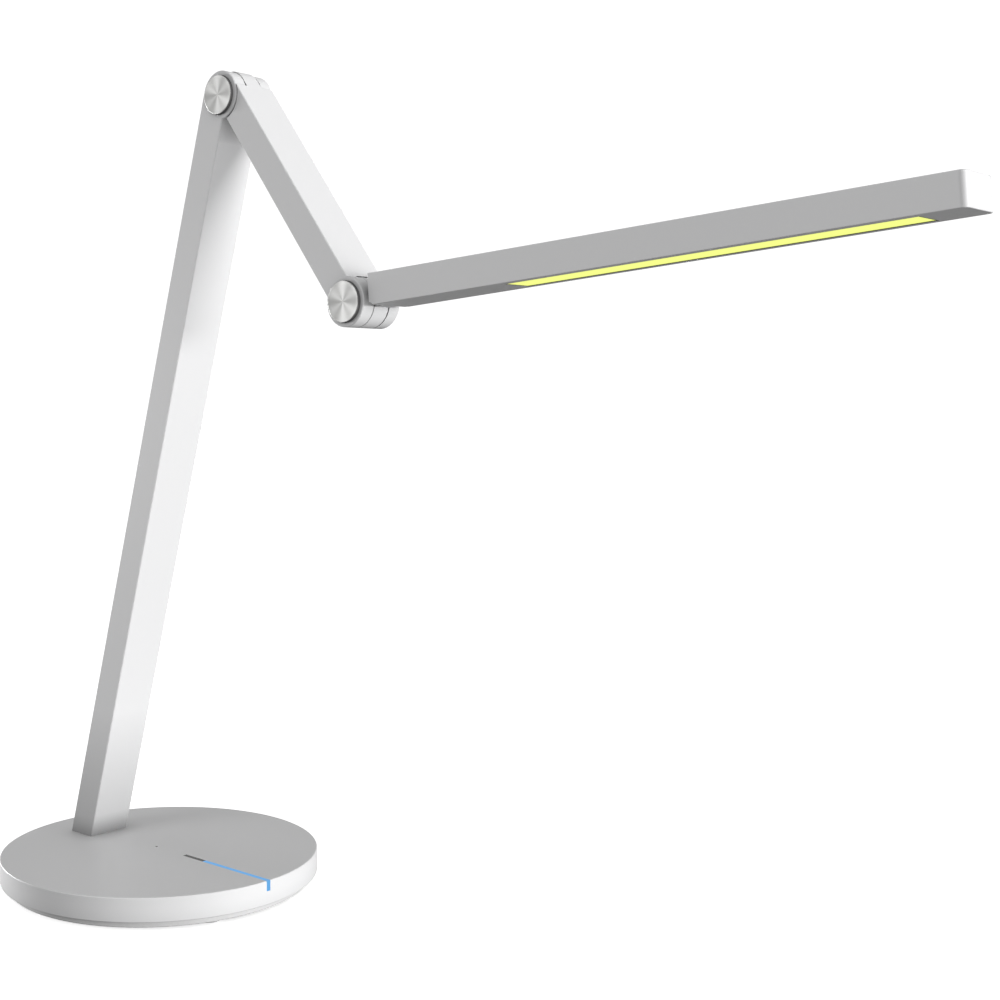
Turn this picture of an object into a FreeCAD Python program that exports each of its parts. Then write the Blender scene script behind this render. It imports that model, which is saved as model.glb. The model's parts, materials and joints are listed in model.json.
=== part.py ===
"""A desk lamp: a round weighted base, two arm bars on friction hinges, and a bar head with an LED light.

Row frame: millimetres, +Z up, +X from the arm's foot towards the head, the origin on the desk at the
centre of the base. Each bar is drawn in its own frame, X along the bar and Z across it, with the origin
on the pivot it hangs from, and is then placed in the row frame.
"""

import os
import re

import FreeCAD, Part
import Sketcher

Vector = FreeCAD.Vector
Y_AXIS = Vector(0, 1, 0)

SIZES = [
    ("base_radius", 100.0, "outer radius of the base cover"),
    ("band_height", 14.5, "height of the base cover"),
    ("band_wall", 8.0, "thickness of the cover's rim wall"),
    ("top_wall", 3.0, "thickness of the cover's top"),
    ("ring_radius", 94.7, "radius of the base plate, set back under the cover"),
    ("ring_height", 4.7, "height of the base plate's rim"),
    ("floor_wall", 2.5, "thickness of the base plate's floor"),
    ("rim_wall", 4.2, "thickness of the base plate's rim"),
    ("foot_height", 1.5, "how far each rubber foot stands below the plate"),
    ("foot_radius", 7.0, "radius of a rubber foot"),
    ("foot_seat", 1.0, "depth of a foot's seat in the plate"),
    ("foot_circle", 85.0, "radius of the circle of feet"),
    ("edge_round", 0.6, "small rounding on the base's outer edges"),
    ("weight_radius", 90.0, "radius of the iron weight"),
    ("weight_thick", 9.0, "thickness of the iron weight"),
    ("strip_width", 3.0, "width of the touch strip"),
    ("strip_start", 23.4, "where the touch strip starts, from the base's centre"),
    ("strip_change", 42.0, "where the dark touch pad ends and the light guide starts"),
    ("strip_drop", 6.2, "how far the light guide runs down the rim"),
    ("sensor_radius", 0.8, "radius of the light sensor's window"),
    ("sensor_place", 4.0, "the sensor window's distance behind the base's centre"),
    ("inlet_radius", 5.25, "radius of the power inlet's recess"),
    ("inlet_height", 12.2, "height of the power inlet's axis"),
    ("inlet_depth", 12.0, "depth of the power inlet's recess"),
    ("bar_width", 29.2, "width of the arms and the head"),
    ("bar_bevel", 0.45, "small bevel along the bars' outer edges and round their ears"),
    ("bar_wall", 1.8, "wall of the two arms"),
    ("cover_wall", 1.6, "thickness of the arms' trough covers"),
    ("lower_lean", 16.12, "lean of the lower arm from the vertical, degrees"),
    ("lower_thick", 20.2, "thickness of the lower arm"),
    ("upper_lean", 37.29, "lean of the upper arm from the vertical, degrees"),
    ("upper_thick", 18.5, "thickness of the upper arm"),
    ("upper_span", 162.0, "distance between the two pivots along the upper arm"),
    ("head_tilt", 4.58, "upward tilt of the head, degrees"),
    ("head_under", 4.0, "the head's underside below the elbow's axis"),
    ("head_over", 13.5, "the head's top above the elbow's axis, at the elbow"),
    ("head_fall", 2.0, "how much thinner the head is at its tip"),
    ("head_start", 17.3, "where the head's bar starts, from the elbow's axis"),
    ("head_end", 343.5, "where the head's bar ends, from the elbow's axis"),
    ("head_wall", 1.6, "side wall of the head housing"),
    ("head_skin", 2.0, "top wall and end walls of the head housing"),
    ("tip_round", 3.0, "rounding of the head's two corners at the tip"),
    ("window_start", 106.0, "where the light window starts, from the elbow's axis"),
    ("window_end", 321.8, "where the light window ends, from the elbow's axis"),
    ("window_width", 20.0, "width of the light window"),
    ("top_x", 75.2, "the top pivot, ahead of the base's centre"),
    ("top_z", 486.6, "the top pivot, above the desk"),
    ("top_radius", 14.4, "radius of the top knuckle"),
    ("elbow_radius", 14.0, "radius of the elbow's knuckle"),
    ("elbow_proud", 0.25, "how far the elbow's ears stand out from the arm's sides"),
    ("scallop_gap", 0.8, "gap between a knuckle's ears and the bar that turns round them"),
    ("slot_gap", 0.5, "gap round a knuckle in its slot"),
    ("knuckle_half", 5.9, "half the width of a middle knuckle"),
    ("slot_half", 6.4, "half the width of the slot that it turns in"),
    ("knuckle_bevel", 0.35, "bevel on a middle knuckle's rims"),
    ("land_round", 12.0, "rounding of the land on top of the upper arm's knuckle"),
    ("land_lead", 2.0, "how far that land runs on past the pivot"),
    ("land_gap", 1.2, "gap round the knuckle's land in its slot"),
    ("cap_radius", 11.4, "radius of a hinge cap"),
    ("cap_proud", 2.0, "how far a hinge cap stands out"),
    ("cap_seat", 1.3, "depth of a hinge cap's seat"),
    ("cap_bevel", 0.5, "bevel round a hinge cap"),
    ("cap_gap", 0.2, "gap round a hinge cap"),
    ("pin_radius", 4.0, "radius of a hinge pin"),
    ("pin_gap", 0.05, "running clearance between a pin and its bush"),
    ("bush_radius", 6.0, "outer radius of a hinge bush"),
    ("head_radius", 7.0, "radius of a pin's head and nut"),
    ("head_depth", 2.6, "thickness of a pin's head and nut"),
    ("washer_thick", 0.6, "thickness of a spring washer"),
    ("disc_radius", 10.4, "radius of a friction disc"),
    ("disc_thick", 1.2, "thickness of a friction disc"),
    ("disc_seat", 0.8, "depth of a friction disc's seat in the knuckle"),
    ("cable_radius", 1.6, "radius of the inner cable"),
    ("socket_front", 56.0, "front edge of the lower arm's opening, behind the base's centre"),
    ("socket_rear", 72.0, "rear edge of that opening"),
    ("socket_half", 10.0, "half the width of that opening"),
    ("board_thick", 1.6, "thickness of every circuit board"),
    ("screw_radius", 2.0, "radius of the base's screws"),
    ("small_screw", 1.5, "radius of the head's screws"),
]

doc = FreeCAD.newDocument("desk_lamp")
sheet = doc.addObject("Spreadsheet::Sheet", "Sizes")
for row, (alias, value, meaning) in enumerate(SIZES, start=1):
    sheet.set(f"A{row}", alias)
    sheet.set(f"B{row}", str(value))
    sheet.set(f"C{row}", meaning)
    sheet.setAlias(f"B{row}", alias)
doc.recompute()
ALIASES = {alias for alias, _, _ in SIZES}

# Levels and places that several sub-parts share, as formulas on the sheet.
RIM_BOTTOM = "(foot_height + ring_height)"
BASE_TOP = f"({RIM_BOTTOM} + band_height)"
CEILING = f"({BASE_TOP} - top_wall)"
FLOOR_TOP = "(foot_height + floor_wall)"
WEIGHT_TOP = f"({FLOOR_TOP} + weight_thick)"
ARM_INNER = "(lower_thick - top_radius)"
UPPER_INNER = "(top_radius - upper_thick)"
ELBOW_OFFSET = "(top_radius - upper_thick / 2)"
EAR_HALF = "(bar_width / 2)"
ELBOW_HALF = "(bar_width / 2 + elbow_proud)"

FEET_ANGLES = (20, 90, 160, 200, 270, 340)
SCREW_ANGLES = (55, 125, 235, 305)
BRACKET_SCREWS = ((-67, -17), (-67, 17), (-40, -17), (-40, 17))
HINGE_SCREWS = ((27, -9), (27, 9), (34, -9), (34, 9))
LED_PITCH = 6.0
LED_SIZE = (2.8, 3.5, 0.8)

nodes = []


def formula(text):
    """A formula on the sheet, from one that uses the aliases alone."""

    def full_name(word):
        return f"Sizes.{word[0]}" if word[0] in ALIASES else word[0]

    return re.sub(r"[a-z_]+", full_name, str(text))


def number(text):
    """What a formula comes to now."""
    return float(sheet.evalExpression(formula(text)))


def bind(item, sizes):
    for name, text in sizes.items():
        item.setExpression(name, formula(text))
    return item


# ---- frames -------------------------------------------------------------------------------------

TOP = Vector(number("top_x"), 0, number("top_z"))
WORLD = FreeCAD.Placement()
LOWER = FreeCAD.Placement(TOP, FreeCAD.Rotation(Y_AXIS, 90 + number("lower_lean")))
UPPER = FreeCAD.Placement(TOP, FreeCAD.Rotation(Y_AXIS, 90 - number("upper_lean")))
ELBOW = UPPER.multVec(Vector(number("upper_span"), 0, number(ELBOW_OFFSET)))
HEAD = FreeCAD.Placement(ELBOW, FreeCAD.Rotation(Y_AXIS, -number("head_tilt")))
ELBOW_IN_UPPER = FreeCAD.Placement(ELBOW, UPPER.Rotation)


def placed(item, frame):
    """The same solid, drawn in one frame and put in its place in the row frame."""
    if item.TypeId in ("Part::Box", "Part::Cylinder", "Part::Prism"):
        item = group(f"{item.Name}_placed", [item])
    item.Placement = frame
    return item


def node(item, label, frame=WORLD):
    """Names a sub-part and puts it in its place."""
    if frame is not WORLD:
        item = placed(item, frame)
    item.Label = label
    nodes.append(item)
    return item


# ---- Part primitives ----------------------------------------------------------------------------


def box(name, low, high):
    """A block from one corner to the other, each given as three formulas."""
    item = doc.addObject("Part::Box", name)
    sizes = {f"Placement.Base.{axis}": text for axis, text in zip("xyz", low)}
    for side, start, end in zip(("Length", "Width", "Height"), low, high):
        sizes[side] = f"({end}) - ({start})"
    return bind(item, sizes)


def rod(name, radius, start, end, axis="z", across=("0", "0")):
    """A cylinder along one axis of its frame, from start to end, at a place across it."""
    item = doc.addObject("Part::Cylinder", name)
    turns = {"x": (Y_AXIS, 90), "y": (Vector(1, 0, 0), -90), "z": (Vector(0, 0, 1), 0)}
    item.Placement = FreeCAD.Placement(Vector(), FreeCAD.Rotation(*turns[axis]))
    others = [letter for letter in "xyz" if letter != axis]
    sizes = {"Radius": radius, "Height": f"({end}) - ({start})", f"Placement.Base.{axis}": start}
    for letter, text in zip(others, across):
        sizes[f"Placement.Base.{letter}"] = text
    return bind(item, sizes)


def cut(name, base, tool):
    item = doc.addObject("Part::Cut", name)
    item.Base, item.Tool = base, tool
    return item


def fuse(name, pieces):
    item = doc.addObject("Part::MultiFuse", name)
    item.Shapes = pieces
    return item


def group(name, pieces):
    """Separate identical solids that share one node."""
    item = doc.addObject("Part::Compound", name)
    item.Links = pieces
    return item


def ring(name, outer, inner, start, end, axis="y"):
    disc = rod(f"{name}_disc", outer, start, end, axis)
    return cut(name, disc, rod(f"{name}_bore", inner, start, end, axis))


# ---- PartDesign bodies --------------------------------------------------------------------------


def new_body(name):
    return doc.addObject("PartDesign::Body", name)


def new_sketch(body, role, offset=("0", "0", "0")):
    sketch = body.newObject("Sketcher::SketchObject", f"{body.Name}_sketch")
    plane = next(item for item in body.Origin.OriginFeatures if item.Role == role)
    sketch.AttachmentSupport = [(plane, "")]
    sketch.MapMode = "FlatFace"
    bind(sketch, {f"AttachmentOffset.Base.{axis}": text for axis, text in zip("xyz", offset)})
    return sketch


def hold_point(sketch, item, vertex, place):
    """Ties a point of the sketch to a place given as two formulas."""
    for kind, text in zip(("DistanceX", "DistanceY"), place):
        index = sketch.addConstraint(Sketcher.Constraint(kind, -1, 1, item, vertex, number(text)))
        sketch.setExpression(f"Constraints[{index}]", formula(text))


def draw_outline(sketch, corners):
    """A closed outline of straight sides, each corner two formulas."""
    points = [Vector(number(a), number(b), 0) for a, b in corners]
    first = sketch.GeometryCount
    for start, end in zip(points, points[1:] + points[:1]):
        sketch.addGeometry(Part.LineSegment(start, end), False)
    count = len(points)
    for side in range(count):
        after = first + (side + 1) % count
        sketch.addConstraint(Sketcher.Constraint("Coincident", first + side, 2, after, 1))
        hold_point(sketch, first + side, 1, corners[side])


def draw_rectangle(sketch, left, right, bottom, top):
    draw_outline(sketch, [(left, bottom), (right, bottom), (right, top), (left, top)])


def draw_circle(sketch, radius, centre=("0", "0")):
    middle = Vector(number(centre[0]), number(centre[1]), 0)
    circle = sketch.addGeometry(Part.Circle(middle, Vector(0, 0, 1), number(radius)), False)
    index = sketch.addConstraint(Sketcher.Constraint("Radius", circle, number(radius)))
    sketch.setExpression(f"Constraints[{index}]", formula(radius))
    hold_point(sketch, circle, 3, centre)


def feature(body, kind, sketch, sizes, **settings):
    item = body.newObject(f"PartDesign::{kind}", f"{body.Name}_{kind.lower()}")
    item.Profile = sketch
    for name, value in settings.items():
        setattr(item, name, value)
    bind(item, sizes)
    sketch.Visibility = False
    return item


def across(body, kind, width, draw, *places):
    """A pad or pocket of this width, half each side of the bar's middle plane."""
    sketch = new_sketch(body, "XZ_Plane")
    draw(sketch, *places)
    return feature(body, kind, sketch, {"Length": width}, SideType="Symmetric")


def along_z(body, kind, level, length, draw, *places, up=True):
    """A pad or pocket that starts at a level and goes up or down from it."""
    sketch = new_sketch(body, "XY_Plane", ("0", "0", level))
    draw(sketch, *places)
    backwards = up if kind == "Pocket" else not up
    return feature(body, kind, sketch, {"Length": length}, Reversed=backwards)


def turned(body, kind, corners, role="XZ_Plane", offset=("0", "0", "0")):
    """A revolution or groove about the sketch's upright axis."""
    sketch = new_sketch(body, role, offset)
    draw_outline(sketch, corners)
    return feature(body, kind, sketch, {}, ReferenceAxis=(sketch, ["V_Axis"]), Angle=360.0)


def bevelled_disc(body, radius, half, bevel, offset=("0", "0", "0")):
    """A disc about the hinge's axis, this half-width each side of the middle, with bevelled rims."""
    corners = [("0", f"-{half}"), (f"{radius} - {bevel}", f"-{half}"), (radius, f"-({half} - {bevel})")]
    corners += [(radius, f"{half} - {bevel}"), (f"{radius} - {bevel}", half), ("0", half)]
    return turned(body, "Revolution", corners, "XY_Plane", offset)


def bevelled_bore(body, radius, half, bevel):
    """A hole about the hinge's axis, right through this half-width, with bevelled rims."""
    past, wide = f"({half} + 1)", f"({radius} + {bevel} + 1)"
    corners = [("0", f"-{past}"), (wide, f"-{past}"), (radius, f"-({half} - {bevel})")]
    corners += [(radius, f"{half} - {bevel}"), (wide, past), ("0", past)]
    return turned(body, "Groove", corners, "XY_Plane")


def soften(body, kind, size, wanted):
    """Rounds or bevels the edges of the body's last feature that pass a test."""
    doc.recompute()
    last = body.Tip
    names = [f"Edge{i}" for i, edge in enumerate(last.Shape.Edges, start=1) if wanted(edge)]
    item = body.newObject(f"PartDesign::{kind}", f"{body.Name}_{kind.lower()}")
    item.Base = (last, names)
    bind(item, {"Radius" if kind == "Fillet" else "Size": size})
    return item


def circles_at(radius, *levels):
    """A test for the full circles of this radius at these levels."""

    def wanted(edge):
        curve = edge.Curve
        if not isinstance(curve, Part.Circle) or abs(curve.Radius - number(radius)) > 0.01:
            return False
        return any(abs(curve.Center.z - number(level)) < 0.01 for level in levels)

    return wanted


# ---- the base -----------------------------------------------------------------------------------


def make_base_cover():
    body = new_body("base_cover")
    inside = "(base_radius - band_wall)"
    section = [("0", CEILING), (inside, CEILING), (inside, RIM_BOTTOM), ("base_radius", RIM_BOTTOM)]
    turned(body, "Revolution", section + [("base_radius", BASE_TOP), ("0", BASE_TOP)])
    soften(body, "Fillet", "edge_round", circles_at("base_radius", BASE_TOP, RIM_BOTTOM))
    # posts for the plate's screws, and a block round the power inlet
    drop = f"{CEILING} - {WEIGHT_TOP}"
    for angle in SCREW_ANGLES:
        place = polar("foot_circle", angle)
        along_z(body, "Pad", CEILING, drop, draw_circle, "2 * screw_radius", place, up=False)
    block = ("-(base_radius - band_wall + 0.5)", "-(base_radius - inlet_depth)", "-8", "8")
    along_z(body, "Pad", CEILING, f"{CEILING} - {RIM_BOTTOM}", draw_rectangle, *block, up=False)
    # the power inlet's recess
    recess = new_sketch(body, "YZ_Plane", ("0", "0", "-(base_radius + 1)"))
    draw_circle(recess, "inlet_radius", ("0", "inlet_height"))
    feature(body, "Pocket", recess, {"Length": "inlet_depth + 1"}, Reversed=True)
    # the touch strip's slot, in the top and down the rim
    slot = ("strip_start", "base_radius + 1", "-strip_width / 2", "strip_width / 2")
    along_z(body, "Pocket", BASE_TOP, "top_wall", draw_rectangle, *slot, up=False)
    leg = (inside, "base_radius + 1", "-strip_width / 2", "strip_width / 2")
    along_z(body, "Pocket", BASE_TOP, "strip_drop", draw_rectangle, *leg, up=False)
    # the sensor's window, the arm bracket's opening and the plate screws' holes
    window = ("sensor_radius", ("-sensor_place", "0"))
    along_z(body, "Pocket", BASE_TOP, "top_wall", draw_circle, *window, up=False)
    socket = ("-socket_rear", "-socket_front", "-socket_half", "socket_half")
    along_z(body, "Pocket", BASE_TOP, "top_wall", draw_rectangle, *socket, up=False)
    for angle in SCREW_ANGLES:
        place = polar("foot_circle", angle)
        along_z(body, "Pocket", WEIGHT_TOP, f"{drop} + 1", draw_circle, "screw_radius", place)
    return node(body, "base_cover")


def polar(radius, angle):
    """A place on a circle, as two formulas."""
    return f"{radius} * cos({angle} deg)", f"{radius} * sin({angle} deg)"


def make_base_plate():
    body = new_body("base_plate")
    inner = "(ring_radius - rim_wall)"
    section = [("0", "foot_height"), ("ring_radius", "foot_height"), ("ring_radius", RIM_BOTTOM)]
    turned(body, "Revolution", section + [(inner, RIM_BOTTOM), (inner, FLOOR_TOP), ("0", FLOOR_TOP)])
    soften(body, "Fillet", "edge_round", circles_at("ring_radius", "foot_height"))
    for angle in FEET_ANGLES:
        place = polar("foot_circle", angle)
        along_z(body, "Pocket", "foot_height", "foot_seat", draw_circle, "foot_radius", place)
    for angle in SCREW_ANGLES:
        place = polar("foot_circle", angle)
        along_z(body, "Pocket", "foot_height", "floor_wall", draw_circle, "screw_radius", place)
        along_z(body, "Pocket", "foot_height", "1.6", draw_circle, "2 * screw_radius", place)
    return node(body, "base_plate")


def make_base_weight():
    body = new_body("base_weight")
    along_z(body, "Pad", FLOOR_TOP, "weight_thick", draw_circle, "weight_radius")
    # the jack's pocket, and the cable's channel from it to the control board
    along_z(body, "Pocket", FLOOR_TOP, "weight_thick", draw_rectangle, "-95", "-56", "-9", "9")
    along_z(body, "Pocket", f"{FLOOR_TOP} + 3", "weight_thick", draw_rectangle, "-57", "40", "-4", "4")
    for angle in SCREW_ANGLES:
        place = polar("foot_circle", angle)
        along_z(body, "Pocket", FLOOR_TOP, "weight_thick", draw_circle, "screw_radius", place)
    for place in BRACKET_SCREWS:
        along_z(body, "Pocket", f"{WEIGHT_TOP} - 6", "6", draw_circle, "screw_radius", place)
    return node(body, "base_weight")


def make_feet():
    pieces = []
    for angle in FEET_ANGLES:
        place = polar("foot_circle", angle)
        pieces.append(rod(f"foot_{angle}", "foot_radius", "0", "foot_height + foot_seat", "z", place))
    return node(group("rubber_feet", pieces), "rubber_feet")


def make_plate_screws():
    pieces = []
    for angle in SCREW_ANGLES:
        place = polar("foot_circle", angle)
        neck = "foot_height + 1.6"
        head = rod(f"plate_screw_head_{angle}", "2 * screw_radius", "foot_height + 0.2", neck, "z", place)
        shank = rod(f"plate_screw_shank_{angle}", "screw_radius", neck, CEILING, "z", place)
        pieces.append(fuse(f"plate_screw_{angle}", [head, shank]))
    return node(group("plate_screws", pieces), "plate_screws")


def make_touch_strip():
    half = "strip_width / 2"
    pad = box("pad_block", ("strip_start", f"-{half}", CEILING), ("strip_change", half, BASE_TOP))
    node(pad, "touch_pad")
    inside = "(base_radius - band_wall)"
    corner = ("base_radius + 1", half, BASE_TOP)
    run = box("guide_run", ("strip_change", f"-{half}", CEILING), corner)
    leg = box("guide_leg", (inside, f"-{half}", f"{BASE_TOP} - strip_drop"), corner)
    disc = rod("guide_disc", "base_radius", RIM_BOTTOM, BASE_TOP)
    guide = doc.addObject("Part::Common", "touch_light_guide")
    guide.Base, guide.Tool = fuse("guide_blank", [run, leg]), disc
    node(guide, "touch_light_guide")
    window = rod("sensor_window", "sensor_radius", CEILING, BASE_TOP, "z", ("-sensor_place", "0"))
    node(window, "sensor_window")


def make_control_board():
    under = f"({CEILING} - 0.9 - board_thick)"
    board = box("control_board", ("16", "-12", under), ("88", "12", f"{under} + board_thick"))
    node(board, "control_board")
    chips = []
    for x, y, wide in ((26, -4, 7), (40, 3, 5), (56, -3, 6), (72, 2, 4)):
        low = (x, y, f"{under} - 1.1")
        chips.append(box(f"chip_{x}", low, (x + wide, y + wide, under)))
    node(group("control_chips", chips), "control_chips")
    leds = []
    for x in (46, 58, 70, 82):
        low = (x, "-0.8", f"{under} + board_thick")
        leds.append(box(f"strip_led_{x}", low, (x + 2, "0.8", CEILING)))
    node(group("strip_leds", leds), "strip_leds")


def make_power_inlet():
    start = "-(base_radius - inlet_depth)"
    low = "(inlet_height - 4.5)"
    block = box("jack_block", (start, "-4.5", low), (f"{start} + 13", "4.5", "inlet_height + 4.5"))
    well = rod("jack_well", "3.2", start, f"{start} + 10.5", "x", ("0", "inlet_height"))
    node(cut("dc_jack", block, well), "dc_jack")
    pin = rod("dc_jack_pin", "1", f"{start} + 1.5", f"{start} + 10.5", "x", ("0", "inlet_height"))
    node(pin, "dc_jack_pin")
    board = box("jack_board", (start, "-7", f"{low} - board_thick"), (f"{start} + 24", "7", low))
    node(board, "jack_board")


def make_arm_bracket():
    """A steel flange on the weight, with a tongue that stands up inside the lower arm."""
    flange = box("bracket_flange", ("-73", "-23", WEIGHT_TOP), ("-34", "23", f"{WEIGHT_TOP} + 4"))
    foot = "(top_z / cos(lower_lean * 1 deg))"
    tongue = box("bracket_tongue", (f"{foot} - 90", "-8", "-10"), (f"{foot} + 4", "8", "1"))
    solid = fuse("bracket_blank", [flange, placed(tongue, LOWER)])
    seat = f"{WEIGHT_TOP} + 2"
    top = f"{WEIGHT_TOP} + 4"
    holes = []
    screws = []
    for i, place in enumerate(BRACKET_SCREWS):
        holes.append(rod(f"bracket_hole_{i}", "screw_radius", WEIGHT_TOP, top, "z", place))
        holes.append(rod(f"bracket_seat_{i}", "1.8 * screw_radius", seat, top, "z", place))
        head = rod(f"bracket_screw_head_{i}", "1.8 * screw_radius", seat, top, "z", place)
        shank = rod(f"bracket_screw_shank_{i}", "screw_radius", f"{WEIGHT_TOP} - 6", seat, "z", place)
        screws.append(fuse(f"bracket_screw_{i}", [head, shank]))
    below = box("bracket_below", ("-200", "-50", "-50"), ("50", "50", WEIGHT_TOP))
    cable_way = rod("bracket_cable_way", "1.4 * cable_radius", "300", f"{foot} + 20", "x", ("0", "-4.5"))
    tools = fuse("bracket_tools", holes + [below, placed(cable_way, LOWER)])
    node(cut("arm_bracket", solid, tools), "arm_bracket")
    node(group("bracket_screws", screws), "bracket_screws")


# ---- the arms -----------------------------------------------------------------------------------


def on_side(edge):
    """A test for the edges that lie in one of a bar's two side faces."""
    return all(abs(abs(vertex.Point.y) - number(EAR_HALF)) < 0.01 for vertex in edge.Vertexes)


def long_edges(edge):
    """A test for the long straight edges of a bar, along its own X."""
    return on_side(edge) and isinstance(edge.Curve, Part.Line) and edge.Length > 60


def head_outline(edge):
    """A test for the outline of the head's side faces, up to the rounded tip."""
    places = [vertex.Point.x for vertex in edge.Vertexes]
    return on_side(edge) and min(places) < number("window_end")


def ear_bore(body, half, offset=("0", "0", "0")):
    """The stepped bore through a pair of ears: cap seat, head seat, washer seat and pin hole."""
    cap = "(cap_radius + cap_gap)"
    seat = f"({half} - cap_seat)"
    deep = f"({seat} - head_depth - washer_thick)"
    head = "(head_radius + cap_gap)"
    front = [("0", f"-{half} - 1"), (cap, f"-{half} - 1"), (cap, f"-{seat}"), (head, f"-{seat}")]
    front += [(head, f"-{deep}"), ("pin_radius", f"-{deep}")]
    back = [("pin_radius", deep), (head, deep), (head, seat), (cap, seat), (cap, f"{half} + 1")]
    turned(body, "Groove", front + back + [("0", f"{half} + 1")], "XY_Plane", offset)


def knuckle_bore(body, offset=("0", "0", "0")):
    """The bore for the bush in a middle knuckle, with the friction discs' seats."""
    deep = "(knuckle_half - disc_seat)"
    disc = "(disc_radius + 0.1)"
    past = "knuckle_half + 1"
    front = [("0", f"-({past})"), (disc, f"-({past})"), (disc, f"-{deep}"), ("bush_radius", f"-{deep}")]
    back = [("bush_radius", deep), (disc, deep), (disc, past), ("0", past)]
    turned(body, "Groove", front + back, "XY_Plane", offset)


def foot_at(level):
    """Where a line of the lower arm, at this level across the bar, meets the base's top."""
    return f"((top_z - {BASE_TOP} - ({level}) * sin(lower_lean * 1 deg)) / cos(lower_lean * 1 deg))"


TROUGH_HALF = "(bar_width / 2 - bar_wall)"
LOWER_TROUGH = ("26", "440")
UPPER_TROUGH = ("26", "upper_span - 24")


def make_lower_arm():
    body = new_body("lower_arm")
    outer = "-top_radius"
    outline = [("0", outer), (foot_at(outer), outer), (foot_at(ARM_INNER), ARM_INNER), ("0", ARM_INNER)]
    across(body, "Pad", "bar_width", draw_outline, outline)
    soften(body, "Chamfer", "bar_bevel", long_edges)
    bevelled_disc(body, "top_radius", EAR_HALF, "bar_bevel")
    across(body, "Pocket", "2 * slot_half", draw_circle, "top_radius + land_gap")
    across(body, "Pocket", "2 * slot_half", draw_rectangle, "-top_radius - 1", "0", "-30", "30")
    # the cable's trough, open at the foot, and the step that its cover lies in
    roof = f"{ARM_INNER} - bar_wall"
    trough = (LOWER_TROUGH[0], "520", "-top_radius + cover_wall", roof)
    across(body, "Pocket", f"2 * {TROUGH_HALF}", draw_rectangle, *trough)
    cover_end = f"{foot_at(outer)} - 8"
    step = (f"{LOWER_TROUGH[0]} - 3", cover_end, "-top_radius - 1", "-top_radius + cover_wall")
    across(body, "Pocket", f"2 * {TROUGH_HALF}", draw_rectangle, *step)
    ear_bore(body, EAR_HALF)
    node(body, "lower_arm", LOWER)
    low = (f"{LOWER_TROUGH[0]} - 3", f"-{TROUGH_HALF}", "-top_radius")
    high = (cover_end, TROUGH_HALF, "-top_radius + cover_wall")
    node(box("lower_cover_plate", low, high), "lower_arm_cover", LOWER)
    cable = rod("lower_cable_run", "cable_radius", f"{LOWER_TROUGH[0]} + 1", "492", "x", ("0", "-4.5"))
    node(cable, "lower_cable", LOWER)


def make_upper_arm():
    body = new_body("upper_arm")
    elbow = ("upper_span", ELBOW_OFFSET)
    across(body, "Pad", "bar_width", draw_rectangle, "0", "upper_span", UPPER_INNER, "top_radius")
    soften(body, "Chamfer", "bar_bevel", long_edges)
    bevelled_bore(body, "(top_radius + scallop_gap)", EAR_HALF, "bar_bevel")
    # the middle knuckle, with a land that carries the outer face on past the pivot
    neck = ("-land_lead", "20", UPPER_INNER, "top_radius")
    across(body, "Pad", "2 * knuckle_half", draw_rectangle, *neck)
    bevelled_disc(body, "top_radius", "knuckle_half", "knuckle_bevel")
    land = ("-land_lead", "0", "top_radius - land_round")
    bevelled_disc(body, "land_round", "knuckle_half", "knuckle_bevel", land)
    # the elbow's two ears, and the slot between them
    pivot = ("upper_span", "0", ELBOW_OFFSET)
    bevelled_disc(body, "elbow_radius", ELBOW_HALF, "bar_bevel", pivot)
    across(body, "Pocket", "2 * slot_half", draw_circle, "elbow_radius + slot_gap", elbow)
    beyond = ("upper_span", "upper_span + elbow_radius + 1", "-elbow_radius", "top_radius + 10")
    across(body, "Pocket", "2 * slot_half", draw_rectangle, *beyond)
    roof = "top_radius - bar_wall"
    floor = f"{UPPER_INNER} + cover_wall"
    across(body, "Pocket", f"2 * {TROUGH_HALF}", draw_rectangle, *UPPER_TROUGH, floor, roof)
    step = (f"{UPPER_TROUGH[0]} - 3", f"{UPPER_TROUGH[1]} + 3", f"{UPPER_INNER} - 1", floor)
    across(body, "Pocket", f"2 * {TROUGH_HALF}", draw_rectangle, *step)
    knuckle_bore(body)
    ear_bore(body, ELBOW_HALF, pivot)
    node(body, "upper_arm", UPPER)
    low = (f"{UPPER_TROUGH[0]} - 3", f"-{TROUGH_HALF}", UPPER_INNER)
    high = (f"{UPPER_TROUGH[1]} + 3", TROUGH_HALF, floor)
    node(box("upper_cover_plate", low, high), "upper_arm_cover", UPPER)
    ends = (f"{UPPER_TROUGH[0]} + 1", f"{UPPER_TROUGH[1]} - 1")
    node(rod("upper_cable_run", "cable_radius", *ends, "x", ("0", ELBOW_OFFSET)), "upper_cable", UPPER)


# ---- the two hinges -----------------------------------------------------------------------------


def make_cap(label, side, half, frame):
    """A spun hinge cap: a disc with a bevelled rim, its back in the ear's seat."""
    body = new_body(label)
    back, face = f"({half} - cap_seat)", f"({half} + cap_proud)"
    levels = [back, back, f"({face} - cap_bevel)", face, face]
    radii = ["0", "cap_radius", "cap_radius", "(cap_radius - cap_bevel)", "0"]
    sign = "-" if side < 0 else ""
    corners = [(radius, f"{sign}{level}") for radius, level in zip(radii, levels)]
    turned(body, "Revolution", corners, "XY_Plane")
    node(body, label, frame)


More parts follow.
